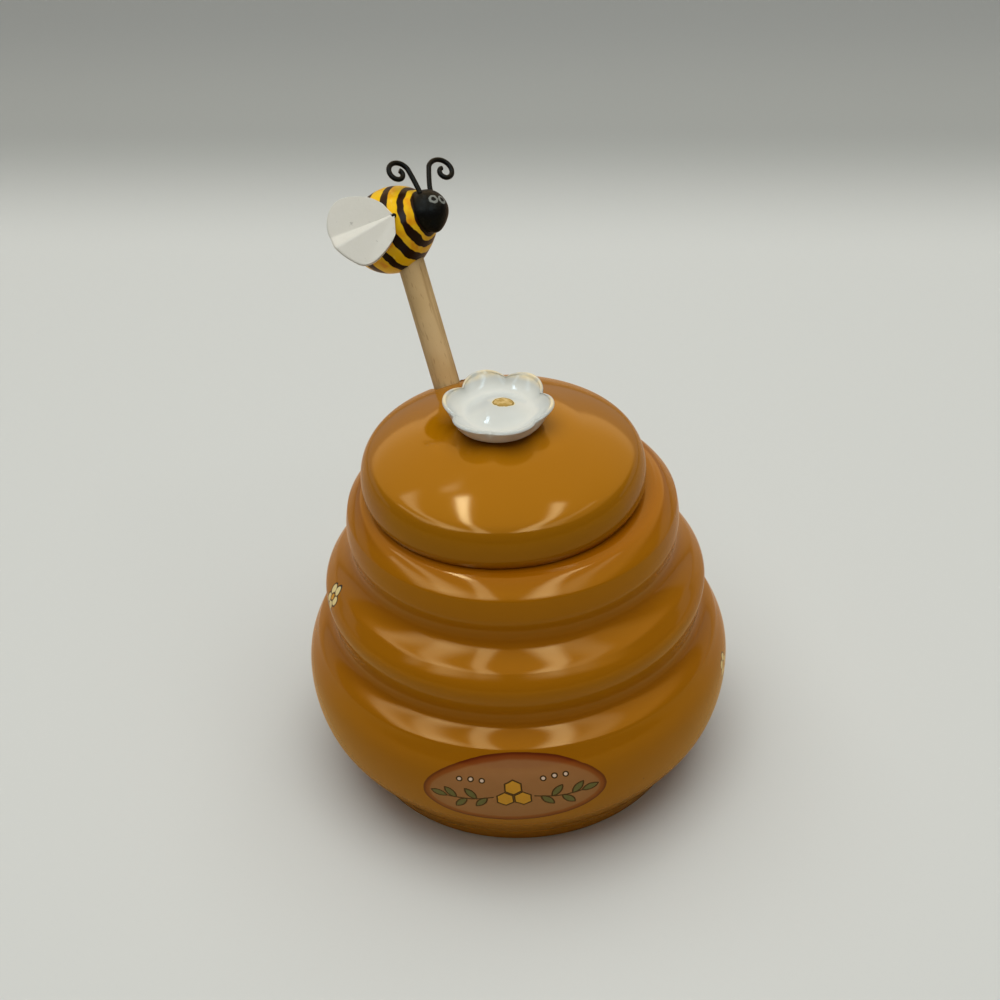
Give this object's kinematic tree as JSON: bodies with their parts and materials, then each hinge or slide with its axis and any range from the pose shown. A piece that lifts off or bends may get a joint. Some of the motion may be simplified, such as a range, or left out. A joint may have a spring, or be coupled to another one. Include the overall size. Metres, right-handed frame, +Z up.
{
  "type": "honey jar",
  "caption": "Glazed beehive-shaped honey jar with a lift-off lid, a flower knob and a wooden honey dipper topped by a small bee.",
  "frame": {"origin": "centre of the flat underside, on the jar's axis", "axes": "+Z up, the front of the jar (its oval label) towards -Y, the dipper leaning to the back left"},
  "size_m": [0.1068, 0.1165, 0.142],
  "materials": {
    "amber_glaze": "gloss",
    "white_glaze": "gloss",
    "beech": "matte",
    "bee_yellow": "gloss",
    "bee_black": "satin",
    "black_wire": "satin"
  },
  "bodies": {
    "jar": {"jar_body": "amber_glaze"},
    "lid": {"lid": "amber_glaze", "flower_knob": "white_glaze"},
    "dipper": {"dipper_handle": "beech", "dipper_head": "beech", "bee_body": "bee_yellow", "bee_head": "bee_black", "bee_wing_left": "white_glaze", "bee_wing_right": "white_glaze", "antenna_left": "black_wire", "antenna_right": "black_wire"}
  },
  "joints": [
    {"name": "lid_lift", "type": "slide", "parent": "jar", "child": "lid", "axis": [0, 0, 1], "range_m": [0, 0.1]},
    {"name": "dipper_lift", "type": "slide", "parent": "jar", "child": "dipper", "axis": [-0.2319, 0.4361, 0.8695], "range_m": [0, 0.04]}
  ]
}
